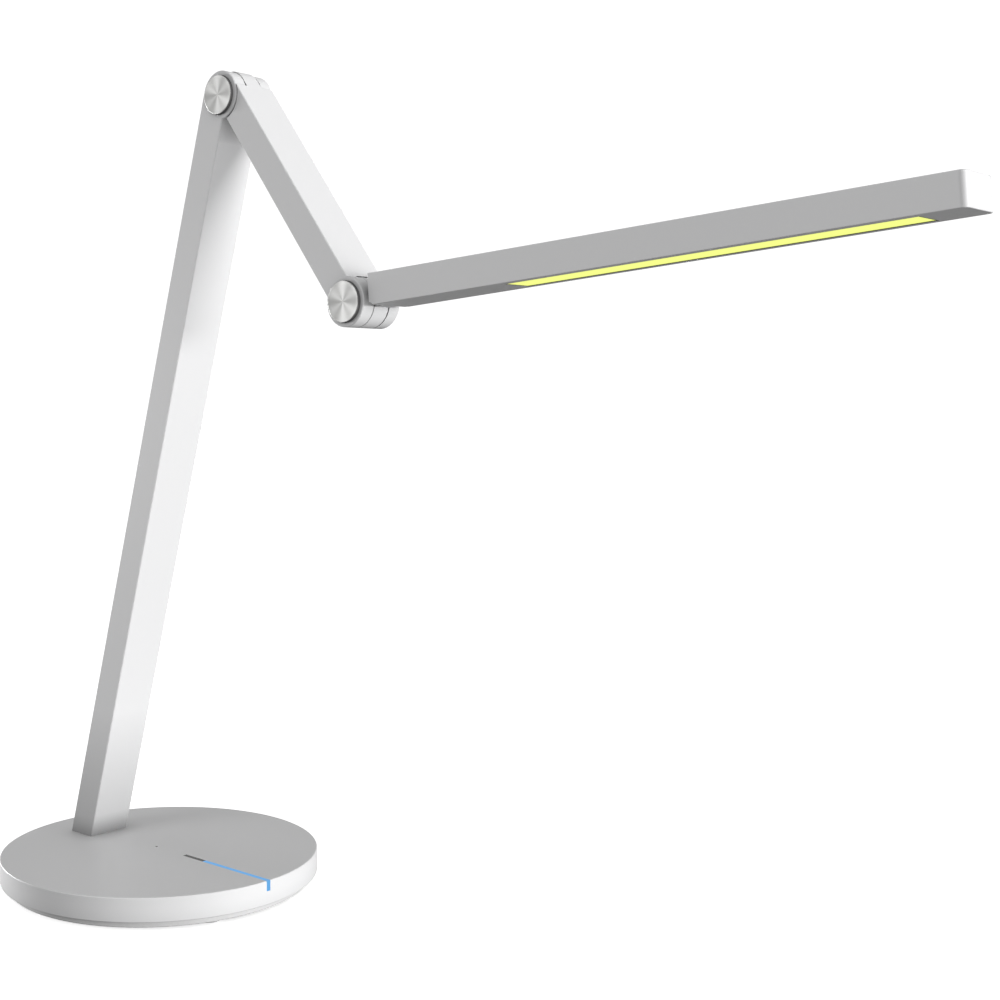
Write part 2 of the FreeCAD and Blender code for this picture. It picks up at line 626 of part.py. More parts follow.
def make_hinge(name, half, frame):
    """A hinge's pin, nut, spring washers, bush and friction discs, about its own axis."""
    seat = f"({half} - cap_seat)"
    deep = f"({seat} - head_depth - washer_thick)"
    inner = f"({seat} - head_depth)"
    head = rod(f"{name}_pin_head", "head_radius", f"-{seat}", f"-{inner}", "y")
    shank = rod(f"{name}_pin_shank", "pin_radius", f"-{inner}", seat, "y")
    node(fuse(f"{name}_pin", [head, shank]), f"{name}_pin", frame)
    blank = doc.addObject("Part::Prism", f"{name}_nut_blank")
    blank.Polygon = 6
    blank.Placement = FreeCAD.Placement(Vector(), FreeCAD.Rotation(Vector(1, 0, 0), -90))
    bind(blank, {"Circumradius": "head_radius", "Height": "head_depth", "Placement.Base.y": inner})
    bore = rod(f"{name}_nut_bore", "pin_radius", inner, seat, "y")
    node(cut(f"{name}_nut", blank, bore), f"{name}_nut", frame)
    front = ring(f"{name}_front_washer", "head_radius", "pin_radius + 0.1", f"-{inner}", f"-{deep}")
    back = ring(f"{name}_back_washer", "head_radius", "pin_radius + 0.1", deep, inner)
    node(group(f"{name}_spring_washers", [front, back]), f"{name}_spring_washers", frame)
    bush_end = "(knuckle_half - disc_seat)"
    bush = ring(f"{name}_bush", "bush_radius", "pin_radius + pin_gap", f"-{bush_end}", bush_end)
    node(bush, f"{name}_bush", frame)
    ends = (bush_end, f"({bush_end} + disc_thick)")
    front = ring(f"{name}_front_disc", "disc_radius", "pin_radius + 0.3", f"-{ends[1]}", f"-{ends[0]}")
    back = ring(f"{name}_back_disc", "disc_radius", "pin_radius + 0.3", *ends)
    node(group(f"{name}_friction_discs", [front, back]), f"{name}_friction_discs", frame)
    make_cap(f"{name}_cap_front", -1, half, frame)
    make_cap(f"{name}_cap_rear", 1, half, frame)


# ---- the head -----------------------------------------------------------------------------------

UNDER = "(-head_under)"
HEAD_INSIDE = "(bar_width / 2 - head_wall)"
CAVITY = ("(head_start + head_skin)", "(head_end - head_skin)")
TONGUE_TOP = "5"
LID = f"({UNDER} + 1.6)"
LED_LEVEL = "6.2"


def roof_at(place):
    """The head's top, at a place along it."""
    return f"(head_over - head_fall * ({place}) / head_end)"


def make_head_housing():
    body = new_body("head_housing")
    corner = [("head_start", f"{UNDER} + 1.8"), ("head_start + 3.3", UNDER), ("head_end", UNDER)]
    outline = corner + [("head_end", roof_at("head_end")), ("head_start", roof_at("head_start"))]
    across(body, "Pad", "bar_width", draw_outline, outline)
    soften(body, "Fillet", "tip_round", tip_corners)
    soften(body, "Fillet", "bar_bevel", head_outline)
    inner = [(CAVITY[0], f"{UNDER} - 1"), (CAVITY[1], f"{UNDER} - 1")]
    inner += [(place, f"{roof_at(place)} - head_skin") for place in reversed(CAVITY)]
    across(body, "Pocket", f"2 * {HEAD_INSIDE}", draw_outline, inner)
    doorway = ("head_start - 1", f"{CAVITY[0]} + 1", f"{UNDER} - 1", TONGUE_TOP)
    across(body, "Pocket", "2 * knuckle_half", draw_rectangle, *doorway)
    node(body, "head_housing", HEAD)


def tip_corners(edge):
    """A test for the head's two upright edges at its tip."""
    points = [vertex.Point for vertex in edge.Vertexes]
    if len(points) < 2 or edge.Length > 30:
        return False
    at_tip = all(abs(point.x - number("head_end")) < 0.01 for point in points)
    return at_tip and abs(points[0].y - points[1].y) < 0.01


def make_head_hinge():
    """The casting that turns on the elbow's pin, with its root inside the housing."""
    body = new_body("head_hinge")
    root_end = "40"
    neck = ("0", f"{CAVITY[0]} + 1", UNDER, TONGUE_TOP)
    across(body, "Pad", "2 * knuckle_half", draw_rectangle, *neck)
    bevelled_disc(body, "elbow_radius", "knuckle_half", "knuckle_bevel")
    root = [(CAVITY[0], LID), (root_end, LID)]
    root += [(place, f"{roof_at(place)} - head_skin") for place in (root_end, CAVITY[0])]
    across(body, "Pad", f"2 * {HEAD_INSIDE}", draw_outline, root)
    knuckle_bore(body)
    cable_way = new_sketch(body, "YZ_Plane", ("0", "0", "elbow_radius - 2"))
    draw_circle(cable_way, "cable_radius + 0.4", ("0", "1"))
    feature(body, "Pocket", cable_way, {"Length": "60"}, Reversed=True)
    for place in HINGE_SCREWS:
        along_z(body, "Pocket", LID, "16", draw_circle, "small_screw", place)
        along_z(body, "Pocket", LID, "2", draw_circle, "2 * small_screw", place)
    node(body, "head_hinge", HEAD)
    screws = []
    for i, place in enumerate(HINGE_SCREWS):
        end = f"{roof_at(place[0])} - head_skin - 0.2"
        head = rod(f"hinge_screw_head_{i}", "2 * small_screw", LID, f"{LID} + 2", "z", place)
        shank = rod(f"hinge_screw_shank_{i}", "small_screw", f"{LID} + 2", end, "z", place)
        screws.append(fuse(f"hinge_screw_{i}", [head, shank]))
    node(group("hinge_screws", screws), "hinge_screws", HEAD)


def make_head_lid():
    """The plate that closes the head's underside, with the window for the light."""
    body = new_body("head_lid")
    lid = (CAVITY[0], CAVITY[1], UNDER, LID)
    across(body, "Pad", f"2 * {HEAD_INSIDE}", draw_rectangle, *lid)
    window = ("window_start", "window_end", f"{UNDER} - 1", f"{LID} + 1")
    across(body, "Pocket", "window_width", draw_rectangle, *window)
    doorway = (f"{CAVITY[0]} - 1", f"{CAVITY[0]} + 1", f"{UNDER} - 1", f"{LID} + 1")
    across(body, "Pocket", "2 * knuckle_half", draw_rectangle, *doorway)
    node(body, "head_lid", HEAD)


def make_light():
    half = "window_width / 2"
    low = ("window_start", f"-{half}", f"{UNDER} + 0.3")
    face = box("diffuser_face", low, ("window_end", half, LID))
    low = ("window_start - 2", f"-{half} - 1.2", LID)
    flange = box("diffuser_flange", low, ("window_end + 2", f"{half} + 1.2", f"{LID} + 1.2"))
    node(fuse("diffuser", [face, flange]), "diffuser", HEAD)
    low = ("window_start - 2", f"-{half} - 1.2", f"{LID} + 1.2")
    tray = box("reflector_block", low, ("window_end + 2", f"{half} + 1.2", LED_LEVEL))
    low = ("window_start", f"-{half}", LID)
    well = box("reflector_well", low, ("window_end", half, f"{LED_LEVEL} + 1"))
    node(cut("reflector", tray, well), "reflector", HEAD)
    board_top = f"({LED_LEVEL} + board_thick)"
    low, high = ("window_start - 2", f"-{half}", LED_LEVEL), ("window_end + 2", half, board_top)
    node(box("led_board_plate", low, high), "led_board", HEAD)
    low = ("window_start - 6", f"-{half} - 2", board_top)
    spreader = box("heat_spreader_bar", low, ("window_end + 4", f"{half} + 2", f"{board_top} + 1.5"))
    node(spreader, "heat_spreader", HEAD)
    long, wide, tall = LED_SIZE
    leds = []
    count = int((number("window_end") - number("window_start")) // LED_PITCH)
    for index in range(count):
        start = f"window_start + {(index + 0.5) * LED_PITCH - long / 2:.2f}"
        low = (start, -wide / 2, f"{LED_LEVEL} - {tall}")
        leds.append(box(f"led_{index}", low, (f"{start} + {long}", wide / 2, LED_LEVEL)))
    node(group("leds", leds), "leds", HEAD)


def make_driver():
    level = "3"
    low, high = ("46", "-10", level), ("92", "10", f"{level} + board_thick")
    node(box("driver_plate", low, high), "driver_board", HEAD)
    parts = [(50, -7, 8, 5, 4), (61, 0, 6, 6, 3), (70, -6, 5, 5, 2), (80, -2, 7, 8, 4)]
    chips = []
    for index, (x, y, long, wide, tall) in enumerate(parts):
        low = (x, y, f"{level} - {tall}")
        chips.append(box(f"driver_chip_{index}", low, (x + long, y + wide, level)))
    node(group("driver_parts", chips), "driver_parts", HEAD)
    cable = rod("head_cable_run", "cable_radius", "elbow_radius", "49", "x", ("0", "1"))
    node(cable, "head_cable", HEAD)


def make_base_cable():
    run = rod("base_cable_run", "cable_radius", "-62", "20", "x", ("0", f"{FLOOR_TOP} + 5"))
    node(run, "base_cable")


# ---- building -----------------------------------------------------------------------------------

make_base_cover()
make_base_plate()
make_base_weight()
make_feet()
make_plate_screws()
make_touch_strip()
make_control_board()
make_power_inlet()
make_arm_bracket()
make_base_cable()
make_lower_arm()
make_upper_arm()
make_hinge("top", EAR_HALF, LOWER)
make_hinge("elbow", ELBOW_HALF, ELBOW_IN_UPPER)
make_head_housing()
make_head_hinge()
make_head_lid()
make_light()
make_driver()
doc.recompute()

for item in doc.Objects:
    if "Invalid" in item.State or "Error" in item.State:
        raise RuntimeError(f"{item.Name} failed: {item.State}")
for item in nodes:
    if item.Shape.isNull() or not item.Shape.isValid():
        raise RuntimeError(f"{item.Label} has no valid shape")

os.makedirs("parts", exist_ok=True)
for item in nodes:
    item.Shape.exportStep(os.path.join("parts", f"{item.Label}.step"))
    print(item.Label, len(item.Shape.Solids), round(item.Shape.Volume / 1000, 2), "cm3")
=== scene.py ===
"""Looks for the desk lamp: painted, spun, moulded and lit finishes, and a pale studio."""

import json
import math

import bmesh
import bpy
from mathutils import Matrix, Vector


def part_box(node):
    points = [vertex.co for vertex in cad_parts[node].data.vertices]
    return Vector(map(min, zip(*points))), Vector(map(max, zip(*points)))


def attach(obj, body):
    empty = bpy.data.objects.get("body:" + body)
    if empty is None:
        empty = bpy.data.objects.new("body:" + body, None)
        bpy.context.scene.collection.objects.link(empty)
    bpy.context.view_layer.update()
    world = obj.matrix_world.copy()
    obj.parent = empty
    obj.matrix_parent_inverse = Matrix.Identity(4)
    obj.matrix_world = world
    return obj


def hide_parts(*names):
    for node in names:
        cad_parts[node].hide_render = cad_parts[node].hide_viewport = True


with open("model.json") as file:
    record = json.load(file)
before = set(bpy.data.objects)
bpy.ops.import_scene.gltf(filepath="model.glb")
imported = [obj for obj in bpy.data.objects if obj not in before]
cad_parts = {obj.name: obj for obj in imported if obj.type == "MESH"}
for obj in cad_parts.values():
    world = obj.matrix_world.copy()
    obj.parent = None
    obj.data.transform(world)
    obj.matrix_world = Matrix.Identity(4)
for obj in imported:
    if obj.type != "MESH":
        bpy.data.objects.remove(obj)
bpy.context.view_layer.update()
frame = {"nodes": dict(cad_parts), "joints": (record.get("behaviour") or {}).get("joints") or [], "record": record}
nodes = frame["nodes"]
pivots = {joint["name"]: Vector(joint["pos_m"]) for joint in frame["joints"]}

MM = 0.001
HEAD_TILT = 4.58  # degrees, the head's upward tilt at rest
HEAD_UNDER = 4.0  # millimetres, the head's underside below the elbow's axis
FOOT_SHADE = (0.022, 0.105)  # metres: heights between which the lower arm's paint darkens with painted shade near the base
WINDOW = (106.0, 321.8, 20.0)  # millimetres: the light window's start, end and width

# The camera: metres, degrees and millimetres of lens.
CAMERA_PLACE = (0.7651, -0.6303, 0.3082)
CAMERA_YAW = 42.383
CAMERA_PITCH = -1.929
CAMERA_LENS = 55.76
CAMERA_SHIFT = (0.12, -0.05)

# The studio: how bright the surroundings, the backdrop and the floor are, and large soft lights.
# Each light has an azimuth and a height in degrees seen from the lamp, a width and a height in
# metres, a power in watts, and whether it casts shadows.
AMBIENT = 0.45
FLOOR_GLOW = 0.7
FLOOR_BOUNCE = 0.38
FLOOR_HALF = 12.0
BACKDROP = 1.1
LIGHT_DISTANCE = 8.0
LIGHT_TARGET = (0.12, 0.0, 0.3)
LIGHTS = {
    "key": (16.0, 2.5, 4.0, 1.0, 475.0, True),
    "key_fill": (16.0, 2.5, 4.0, 1.0, 260.0, False),
    "side": (186.0, 0.0, 3.0, 0.6, 600.0, True),
    "front": (-100.0, 22.0, 3.5, 2.0, 117.0, True),
}


# ---- shader helpers -----------------------------------------------------------------------------


def material(name, colour, roughness, metallic=0.0):
    """A Principled material; returns it with its tree and shader for more detail."""
    made = bpy.data.materials.new(name)
    made.use_nodes = True
    tree = made.node_tree
    shader = tree.nodes["Principled BSDF"]
    shader.inputs["Base Color"].default_value = (*colour, 1.0)
    shader.inputs["Roughness"].default_value = roughness
    shader.inputs["Metallic"].default_value = metallic
    return made, tree, shader


def add(tree, kind, **settings):
    item = tree.nodes.new(kind)
    for name, value in settings.items():
        setattr(item, name, value)
    return item


def object_coordinates(tree):
    return add(tree, "ShaderNodeTexCoord").outputs["Object"]


def noise(tree, scale, detail, vector=None):
    item = add(tree, "ShaderNodeTexNoise")
    item.inputs["Scale"].default_value = scale
    item.inputs["Detail"].default_value = detail
    tree.links.new(vector or object_coordinates(tree), item.inputs["Vector"])
    return item.outputs["Fac"]


def spread(tree, value, low, high):
    """Maps a 0..1 value onto a range."""
    item = add(tree, "ShaderNodeMapRange")
    item.inputs["To Min"].default_value = low
    item.inputs["To Max"].default_value = high
    tree.links.new(value, item.inputs["Value"])
    return item.outputs["Result"]


def tint(tree, value, dark, light):
    """A colour ramp between two colours."""
    ramp = add(tree, "ShaderNodeValToRGB")
    ramp.color_ramp.elements[0].color = (*dark, 1.0)
    ramp.color_ramp.elements[1].color = (*light, 1.0)
    tree.links.new(value, ramp.inputs["Fac"])
    return ramp.outputs["Color"]


def times(tree, colour, factor):
    """A colour made darker by a 0..1 factor."""
    item = add(tree, "ShaderNodeVectorMath", operation="SCALE")
    tree.links.new(colour, item.inputs[0])
    tree.links.new(factor, item.inputs["Scale"])
    return item.outputs["Vector"]


def math_node(tree, operation, *values):
    """One sum on values that are sockets or plain numbers."""
    item = add(tree, "ShaderNodeMath", operation=operation)
    for index, value in enumerate(values):
        if isinstance(value, float):
            item.inputs[index].default_value = value
        else:
            tree.links.new(value, item.inputs[index])
    return item.outputs["Value"]


def shade(colour, factor):
    """A colour made darker or lighter by a factor."""
    return tuple(min(1.0, channel * factor) for channel in colour)


def painted_crevice_shade(tree, reach, darkest):
    """1 on open surfaces, falling to darkest in the gaps and corners: painted shade where little light reaches."""
    item = add(tree, "ShaderNodeAmbientOcclusion", samples=12)
    item.inputs["Distance"].default_value = reach
    return spread(tree, item.outputs["AO"], darkest, 1.0)


def painted_shade_towards_foot(tree, darkest):
    """1 up the lamp, falling to darkest over the last stretch above the base: painted shade where the base shuts
    out light.
    """
    parts = add(tree, "ShaderNodeSeparateXYZ")
    tree.links.new(object_coordinates(tree), parts.inputs["Vector"])
    item = add(tree, "ShaderNodeMapRange")
    item.inputs["From Min"].default_value = FOOT_SHADE[0]
    item.inputs["From Max"].default_value = FOOT_SHADE[1]
    item.inputs["To Min"].default_value = darkest
    item.inputs["To Max"].default_value = 1.0
    tree.links.new(parts.outputs["Z"], item.inputs["Value"])
    return item.outputs["Result"]


def bump(tree, shader, height, strength, distance):
    item = add(tree, "ShaderNodeBump")
    item.inputs["Strength"].default_value = strength
    item.inputs["Distance"].default_value = distance
    tree.links.new(height, item.inputs["Height"])
    tree.links.new(item.outputs["Normal"], shader.inputs["Normal"])
    return item


# ---- finishes -----------------------------------------------------------------------------------

PAINT = (0.68, 0.68, 0.685)
RINGS_PER_METRE = 5000.0


def painted_metal(name, reach, darkest, foot=1.0):
    """Satin silver-white paint: orange peel, faint flake, small gloss changes, and painted shade in gaps, in
    corners and towards the foot.
    """
    made, tree, shader = material(name, PAINT, roughness=0.42)
    grain = noise(tree, scale=2600.0, detail=2.0)
    flake = tint(tree, grain, shade(PAINT, 0.98), shade(PAINT, 1.02))
    # painted shade: the colour darkens in gaps and corners and, for the lower arm, near the base
    shaded = times(tree, flake, painted_crevice_shade(tree, reach, darkest))
    tree.links.new(times(tree, shaded, painted_shade_towards_foot(tree, foot)), shader.inputs["Base Color"])
    gloss = spread(tree, noise(tree, scale=14.0, detail=3.0), low=0.40, high=0.47)
    tree.links.new(gloss, shader.inputs["Roughness"])
    bump(tree, shader, noise(tree, scale=900.0, detail=3.0), strength=0.05, distance=0.0002)
    shader.inputs["Specular IOR Level"].default_value = 0.4
    return made


def plain(name, colour, roughness, metallic=0.0, grain=700.0, strength=0.12):
    """A moulded, cast or cut surface with grain and a little colour and gloss variation."""
    made, tree, shader = material(name, colour, roughness, metallic)
    fine = noise(tree, grain, detail=3.0)
    speckle = tint(tree, fine, shade(colour, 0.93), shade(colour, 1.05))
    tree.links.new(speckle, shader.inputs["Base Color"])
    coarse = noise(tree, scale=grain / 12, detail=3.0)
    gloss = spread(tree, coarse, low=roughness - 0.05, high=roughness + 0.05)
    tree.links.new(gloss, shader.inputs["Roughness"])
    bump(tree, shader, fine, strength, distance=0.0003)
    return made


def spun_metal():
    """Aluminium faced on a lathe: fine rings, and soft painted highlights that run out from the centre."""
    made, tree, shader = material("spun_aluminium", (0.8, 0.8, 0.79), roughness=0.46, metallic=1.0)
    shader.inputs["Anisotropic"].default_value = 0.22
    tangent = add(tree, "ShaderNodeTangent", direction_type="RADIAL", axis="Y")
    tree.links.new(tangent.outputs["Tangent"], shader.inputs["Tangent"])
    parts = add(tree, "ShaderNodeSeparateXYZ")
    tree.links.new(object_coordinates(tree), parts.inputs["Vector"])
    angle = math_node(tree, "ARCTAN2", parts.outputs["X"], parts.outputs["Z"])
    # painted highlight: six narrow and two broad spokes by angle, standing in for the glints of a spun face
    painted_glint_rays = math_node(tree, "ADD", wave(tree, angle, 6.0, 0.24), wave(tree, angle, 2.0, 0.08))
    rings = noise(tree, scale=1.0, detail=2.0, vector=ring_places(tree, parts))
    lifted = math_node(tree, "ADD", painted_glint_rays, 0.36)
    value = math_node(tree, "ADD", lifted, math_node(tree, "MULTIPLY", rings, 0.3))
    metal = tint(tree, value, (0.42, 0.42, 0.41), (0.84, 0.84, 0.83))
    tree.links.new(metal, shader.inputs["Base Color"])
    bump(tree, shader, rings, strength=0.12, distance=0.0001)
    return made


def wave(tree, angle, count, size):
    """A cosine with so many crests in a full turn."""
    crests = math_node(tree, "COSINE", math_node(tree, "MULTIPLY", angle, count))
    return math_node(tree, "MULTIPLY", crests, size)


def ring_places(tree, parts):
    """Places that change only with the distance from the axis: noise on them makes turned rings."""
    squares = [math_node(tree, "MULTIPLY", parts.outputs[axis], parts.outputs[axis]) for axis in "XZ"]
    distance = math_node(tree, "SQRT", math_node(tree, "ADD", *squares))
    item = add(tree, "ShaderNodeCombineXYZ")
    tree.links.new(math_node(tree, "MULTIPLY", distance, RINGS_PER_METRE), item.inputs["X"])
    return item.outputs["Vector"]


def glowing(name, surface, light, strength, roughness):
    """A lit plastic part: milky, with a faint mottle in its light, its colour and its gloss."""
    made, tree, shader = material(name, surface, roughness)
    milky = noise(tree, scale=160.0, detail=3.0)
    tree.links.new(tint(tree, milky, shade(surface, 0.9), surface), shader.inputs["Base Color"])
    glow = tint(tree, milky, shade(light, 0.97), shade(light, 1.03))
    tree.links.new(glow, shader.inputs["Emission Color"])
    shader.inputs["Emission Strength"].default_value = strength
    coarse = noise(tree, scale=40.0, detail=2.0)
    gloss = spread(tree, coarse, low=roughness - 0.04, high=roughness + 0.06)
    tree.links.new(gloss, shader.inputs["Roughness"])
    bump(tree, shader, noise(tree, scale=1500.0, detail=2.0), strength=0.05, distance=0.0001)
    return made


FINISHES = {
    # painted shade: the shell paint falls almost to black in gaps and corners
    "painted_shell": painted_metal("satin_paint", reach=0.014, darkest=0.08),
    "base_plastic": plain("base_plastic", (0.6, 0.6, 0.6), 0.55),
    "weight_iron": plain("cast_iron", (0.16, 0.16, 0.16), 0.7, metallic=0.6, grain=300.0, strength=0.4),
    "foot_rubber": plain("foot_rubber", (0.5, 0.5, 0.5), 0.8, grain=1500.0, strength=0.25),
    "pad_plastic": plain("pad_plastic", (0.085, 0.085, 0.085), 0.25, grain=1200.0, strength=0.03),
    "light_guide": glowing("light_guide", (0.03, 0.08, 0.12), (0.10, 0.38, 0.80), 0.80, 0.3),
    "diffuser": glowing("diffuser", (0.2, 0.2, 0.1), (0.90, 0.965, 0.215), 0.95, 0.4),
    "reflector": plain("reflector", (0.9, 0.9, 0.9), 0.4),
    "board_metal": plain("board_metal", (0.85, 0.85, 0.85), 0.35),
    "bare_aluminium": plain("bare_aluminium", (0.75, 0.75, 0.76), 0.35, metallic=1.0),
    "led": glowing("led", (0.9, 0.85, 0.3), (1.0, 0.95, 0.6), 0.5, 0.3),
    "board_green": plain("board_green", (0.02, 0.14, 0.06), 0.4),
    "chip": plain("chip", (0.02, 0.02, 0.02), 0.5),
    "jack_plastic": plain("jack_plastic", (0.02, 0.02, 0.022), 0.35),
    "brass_pin": plain("brass", (0.72, 0.52, 0.22), 0.3, metallic=1.0),
    "steel": plain("steel", (0.55, 0.55, 0.56), 0.3, metallic=1.0),
    "friction_plastic": plain("friction_plastic", (0.06, 0.06, 0.06), 0.5),
    "spun_cap": spun_metal(),
    "cable": plain("cable", (0.03, 0.03, 0.03), 0.5),
}
# Copies of the paint with their own painted shade: light in the base's corners, dark in the lower arm's gaps and
# near its foot.
BASE_PAINT = painted_metal("satin_paint_base", reach=0.015, darkest=0.65)
ARM_PAINT = painted_metal("satin_paint_lower_arm", reach=0.014, darkest=0.12, foot=0.58)
SPECIAL = {"base_cover": BASE_PAINT, "lower_arm": ARM_PAINT, "lower_arm_cover": ARM_PAINT}
# painted shade: near black on the caps' sides, standing in for the shadow gap around each cap
CAP_SIDE_SHADE = plain("cap_side_painted_shade", (0.10, 0.10, 0.10), 0.6, grain=2000.0, strength=0.1)
# painted shade: near black for the shadow in the gap around the light window
WINDOW_GAP_SHADE = plain("window_gap_shade", (0.07, 0.07, 0.05), 0.6)
SLOT_OF = {part["node"]: part["material_slot"] for part in frame["record"]["subparts"]}
for name, item in nodes.items():
    item.data.materials.clear()
    item.data.materials.append(SPECIAL.get(name) or FINISHES[SLOT_OF[name]])


# ---- pieces -------------------------------------------------------------------------------------


def new_piece(name, mesh_work, body, node, materials, place=(0, 0, 0)):
    """A finished mesh as an object that rides on a body, and stands for a CAD node if one is named."""
    mesh = bpy.data.meshes.new(name)
    bmesh.ops.recalc_face_normals(mesh_work, faces=mesh_work.faces)
    mesh_work.to_mesh(mesh)
    mesh_work.free()
    for item in materials:
        mesh.materials.append(item)
    piece = bpy.data.objects.new(name, mesh)
    piece.location = place
    bpy.context.scene.collection.objects.link(piece)
    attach(piece, body)
    if node:
        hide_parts(node)
    return piece


def lathe(work, profile, place, axis, steps, second_from=math.inf):
    """Turns a profile of (radius, level) points about an axis, from the centre out and back.

    The faces after the point numbered second_from take the second material.
    """
    turn = Vector((0, 0, 1)).rotation_difference(Vector(axis))
    rings = []
    for radius, level in profile:
        if radius == 0:
            rings.append([work.verts.new(Vector(place) + turn @ Vector((0, 0, level)))])
            continue
        ring = []
        for step in range(steps):
            angle = 2 * math.pi * step / steps
            point = Vector((radius * math.cos(angle), radius * math.sin(angle), level))
            ring.append(work.verts.new(Vector(place) + turn @ point))
        rings.append(ring)
    for index, (first, second) in enumerate(zip(rings, rings[1:])):
        for step in range(steps):
            after = (step + 1) % steps
            if len(first) == 1:
                corners = (first[0], second[step], second[after])
            elif len(second) == 1:
                corners = (first[step], second[0], first[after])
            else:
                corners = (first[step], second[step], second[after], first[after])
            face = work.faces.new(corners)
            face.smooth = True
            face.material_index = int(index >= second_from)


def rounded(start, corner, end, count=5):
    """Points of a small round between two ends, about a corner."""
    points = []
    for step in range(count + 1):
        t = step / count
        a, b, c = (1 - t) ** 2, 2 * t * (1 - t), t * t
        points.append(tuple(a * s + b * m + c * e for s, m, e in zip(start, corner, end)))
    return points


def make_caps():
    """Spun hinge caps: a shallow dish with painted highlights, a bright rolled rim, and a side painted near black
    as the shadow gap around the cap.
    """
    dish, ledge, back = 0.20 * MM, 0.03 * MM, 0.2 * MM
    rim, flat, edge, fall = 0.55 * MM, 0.32 * MM, 0.30 * MM, 0.35 * MM
    dish_parts = (0, 0.1, 0.25, 0.45, 0.65, 0.8)  # shares of the radius
    steps = 160
    for name, body in (("top_cap", "base"), ("elbow_cap", "upper_arm")):
        for side, outward in (("front", -1), ("rear", 1)):
            node = f"{name}_{side}"
            low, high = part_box(node)
            radius = (high[0] - low[0]) / 2
            thick = high[1] - low[1]
            face = low[1] if outward < 0 else high[1]
            middle = ((low[0] + high[0]) / 2, face, (low[2] + high[2]) / 2)
            profile = [(radius * part, dish * (part * part - 1)) for part in dish_parts]
            profile += [(radius - rim, -ledge), (radius - flat, 0)]
            profile += rounded((radius - edge, 0), (radius, 0), (radius, -fall))
            side_start = len(profile) - 2
            profile += [(radius, -thick + back), (radius - back, -thick), (0, -thick)]
            work = bmesh.new()
            lathe(work, profile, (0, 0, 0), (0, outward, 0), steps, side_start)
            finish = [FINISHES["spun_cap"], CAP_SIDE_SHADE]
            new_piece(f"{name}_{side}_spun", work, body, node, finish, middle)


def islands(node):
    """The boxes of a CAD node's separate solids, lowest and highest corners."""
    work = bmesh.new()
    work.from_mesh(nodes[node].data)
    bmesh.ops.remove_doubles(work, verts=work.verts, dist=1e-6)
    left = set(work.verts)
    found = []
    while left:
        stack = [left.pop()]
        points = []
        while stack:
            vertex = stack.pop()
            points.append(vertex.co.copy())
            for edge in vertex.link_edges:
                other = edge.other_vert(vertex)
                if other in left:
                    left.remove(other)
                    stack.append(other)
        low = Vector(min(point[axis] for point in points) for axis in range(3))
        high = Vector(max(point[axis] for point in points) for axis in range(3))
        found.append((low, high))
    work.free()
    return sorted(found, key=lambda box: (box[0].x, box[0].y))


def make_feet():
    """Rubber feet with a rounded rim, a shallow ring groove and a slightly hollow tread."""
    hollow, slope, groove, edge = 0.25 * MM, 0.2 * MM, 0.25 * MM, 0.7 * MM
    steps = 64
    work = bmesh.new()
    for low, high in islands("rubber_feet"):
        middle = (low + high) / 2
        radius = (high.x - low.x) / 2
        tall = high.z - low.z
        profile = [(0, -hollow), (radius * 0.45, -slope), (radius * 0.55, 0)]
        profile += [(radius * 0.72, 0), (radius * 0.76, -groove), (radius * 0.80, 0)]
        profile += rounded((radius - edge, 0), (radius, 0), (radius, -edge))
        profile += [(radius, -tall), (0, -tall)]
        lathe(work, profile, (middle.x, middle.y, low.z), (0, 0, -1), steps)
    rubber = FINISHES["foot_rubber"]
    new_piece("rubber_feet_rounded", work, "base", "rubber_feet", [rubber])


def make_plate_screws():
    """Pan-head screws with a hexagonal socket, in the base plate's counterbores."""
    steps = 48
    flat, edge, crown, deep = 0.9 * MM, 0.1 * MM, 0.8 * MM, 1.0 * MM
    head, neck = 1.35 * MM, 1.4 * MM
    work = bmesh.new()
    for low, high in islands("plate_screws"):
        middle = (low + high) / 2
        radius = (high.x - low.x) / 2
        long = high.z - low.z
        place = (middle.x, middle.y, low.z)
        profile = rounded((radius - flat, 0), (radius - edge, 0), (radius, -crown))
        profile += [(radius, -head), (radius / 2, -neck), (radius / 2, -long), (0, -long)]
        lathe(work, profile, place, (0, 0, -1), steps)
        add_socket(work, place, radius - flat, radius * 0.5, deep, steps)
    new_piece("plate_screws_socket", work, "base", "plate_screws", [FINISHES["steel"]])


def around(angle):
    """The direction at an angle in the level plane."""
    return Vector((math.cos(angle), math.sin(angle), 0.0))


def add_socket(work, place, outer, across, deep, steps):
    """The flat of a screw head facing down, with a six-sided hole in it."""
    sides = 6
    per_side = steps // sides
    rims = []
    for step in range(steps):
        corner = (step // per_side) * 2 * math.pi / sides
        following = around(corner + 2 * math.pi / sides)
        inner = around(corner).lerp(following, (step % per_side) / per_side) * across
        points = (around(2 * math.pi * step / steps) * outer, inner, inner + Vector((0, 0, deep)))
        rims.append([work.verts.new(Vector(place) + point) for point in points])
    for step, rim in enumerate(rims):
        after = rims[(step + 1) % steps]
        work.faces.new((rim[0], after[0], after[1], rim[1]))
        work.faces.new((rim[1], after[1], after[2], rim[2]))
    work.faces.new([rim[2] for rim in rims])
    bmesh.ops.remove_doubles(work, verts=work.verts, dist=1e-7)


def head_point(along, across, up):
    """A place in the head's own frame, in millimetres, as a place in the row frame."""
    tilt = Matrix.Rotation(-math.radians(HEAD_TILT), 4, "Y")
    return pivots["elbow_hinge"] + tilt @ Vector((along * MM, across * MM, up * MM))


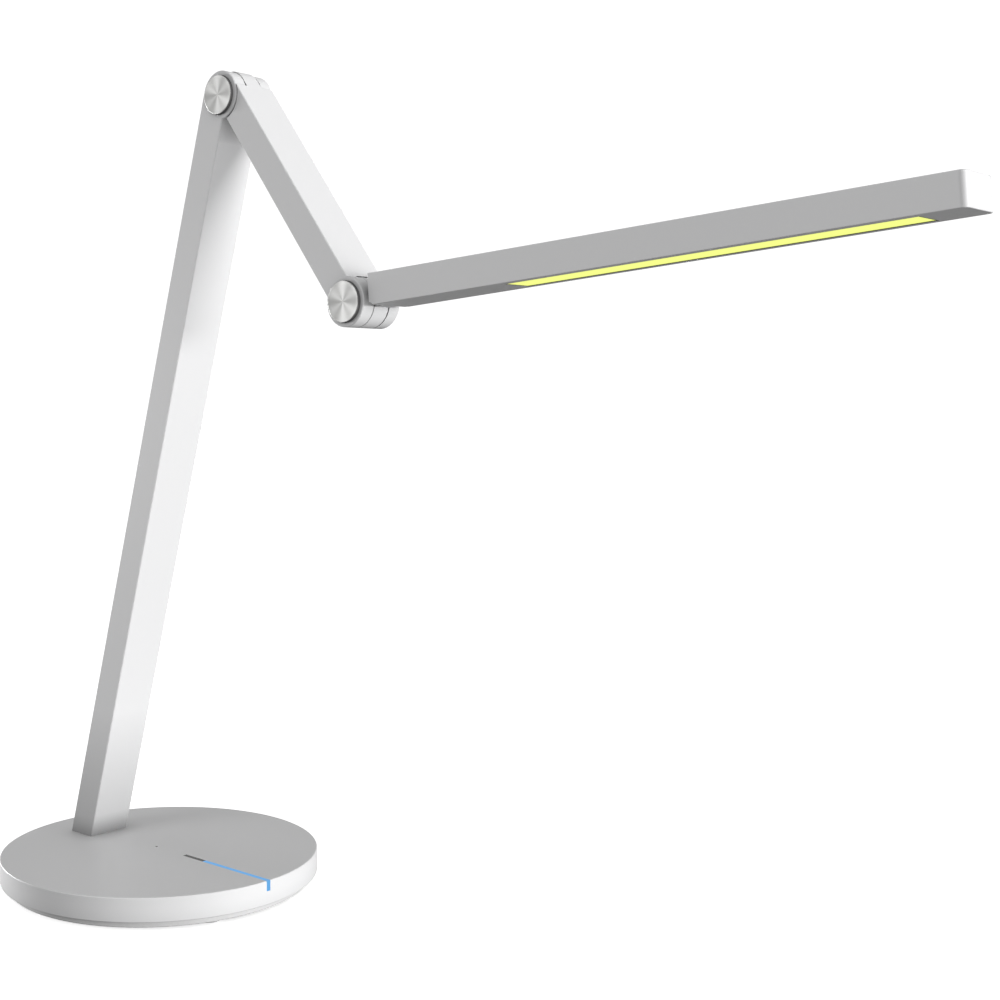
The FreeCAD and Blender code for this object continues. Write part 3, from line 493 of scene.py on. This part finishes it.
def make_window_gap_shade():
    """A thin near-black frame around the light window, lying on the diffuser just inside the lid: painted shade
    for the gap there.
    """
    start, end, width = WINDOW
    near, far = 0.02, 0.7
    outside, inside = -HEAD_UNDER + 0.06, -HEAD_UNDER + 0.28
    work = bmesh.new()
    loops = []
    for inset, level in ((near, inside), (near, outside), (far, outside), (far, inside)):
        half = width / 2 - inset
        ends = (start + inset, end - inset)
        corners = [(ends[0], -half), (ends[1], -half), (ends[1], half), (ends[0], half)]
        loops.append([work.verts.new(head_point(x, y, level)) for x, y in corners])
    for index, loop in enumerate(loops):
        other = loops[(index + 1) % len(loops)]
        for corner in range(len(loop)):
            after = (corner + 1) % len(loop)
            work.faces.new((loop[corner], loop[after], other[after], other[corner]))
    new_piece("window_gap_shade", work, "head", None, [WINDOW_GAP_SHADE])


make_caps()
make_feet()
make_plate_screws()
make_window_gap_shade()


# ---- the studio ---------------------------------------------------------------------------------


def make_floor():
    """A pale floor that shows a soft contact shadow, and throws less light up than it shows."""
    mesh = bpy.data.meshes.new("studio_floor")
    half = FLOOR_HALF
    corners = [(-half, -half, 0), (half, -half, 0), (half, half, 0), (-half, half, 0)]
    mesh.from_pydata(corners, [], [(0, 1, 2, 3)])
    floor = bpy.data.objects.new("studio_floor", mesh)
    bpy.context.scene.collection.objects.link(floor)
    made, tree, shader = material("studio_white", (0.9, 0.9, 0.9), 0.9)
    shader.inputs["Specular IOR Level"].default_value = 0.0
    shader.inputs["Emission Color"].default_value = (1, 1, 1, 1)
    shader.inputs["Emission Strength"].default_value = FLOOR_GLOW
    dim = add(tree, "ShaderNodeBsdfDiffuse")
    dim.inputs["Color"].default_value = (FLOOR_BOUNCE, FLOOR_BOUNCE, FLOOR_BOUNCE, 1)
    seen = add(tree, "ShaderNodeLightPath")
    mix = add(tree, "ShaderNodeMixShader")
    tree.links.new(seen.outputs["Is Camera Ray"], mix.inputs["Fac"])
    tree.links.new(dim.outputs["BSDF"], mix.inputs[1])
    tree.links.new(shader.outputs["BSDF"], mix.inputs[2])
    tree.links.new(mix.outputs["Shader"], tree.nodes["Material Output"].inputs["Surface"])
    mesh.materials.append(made)


def make_light(name, azimuth, height, wide, tall, power, shadows):
    light = bpy.data.lights.new(name, "AREA")
    light.shape = "RECTANGLE"
    light.size, light.size_y = wide, tall
    light.energy = power
    light.use_shadow = shadows
    lift = Matrix.Rotation(-math.radians(height), 3, "Y")
    towards = Matrix.Rotation(math.radians(azimuth), 3, "Z") @ lift @ Vector((1, 0, 0))
    item = bpy.data.objects.new(name, light)
    item.location = Vector(LIGHT_TARGET) + towards * LIGHT_DISTANCE
    item.rotation_euler = (-towards).to_track_quat("-Z", "Y").to_euler()
    bpy.context.scene.collection.objects.link(item)


def make_world():
    """White behind the lamp, with a softer grey light on it."""
    world = bpy.data.worlds.new("studio")
    world.use_nodes = True
    tree = world.node_tree
    ambient = tree.nodes["Background"]
    ambient.inputs["Color"].default_value = (1, 1, 1, 1)
    ambient.inputs["Strength"].default_value = AMBIENT
    backdrop = add(tree, "ShaderNodeBackground")
    backdrop.inputs["Color"].default_value = (1, 1, 1, 1)
    backdrop.inputs["Strength"].default_value = BACKDROP
    seen = add(tree, "ShaderNodeLightPath")
    mix = add(tree, "ShaderNodeMixShader")
    tree.links.new(seen.outputs["Is Camera Ray"], mix.inputs["Fac"])
    tree.links.new(ambient.outputs["Background"], mix.inputs[1])
    tree.links.new(backdrop.outputs["Background"], mix.inputs[2])
    tree.links.new(mix.outputs["Shader"], tree.nodes["World Output"].inputs["Surface"])
    bpy.context.scene.world = world


def make_camera():
    lens = bpy.data.cameras.new("camera")
    lens.sensor_width = 36.0
    lens.lens = CAMERA_LENS
    lens.shift_x, lens.shift_y = CAMERA_SHIFT
    lens.clip_start, lens.clip_end = 0.01, 50.0
    camera = bpy.data.objects.new("camera", lens)
    camera.location = CAMERA_PLACE
    camera.rotation_euler = (math.radians(90 + CAMERA_PITCH), 0.0, math.radians(CAMERA_YAW))
    bpy.context.scene.collection.objects.link(camera)
    bpy.context.scene.camera = camera


make_floor()
make_world()
make_camera()
for name, settings in LIGHTS.items():
    make_light(name, *settings)
bpy.context.scene.view_settings.view_transform = "Standard"
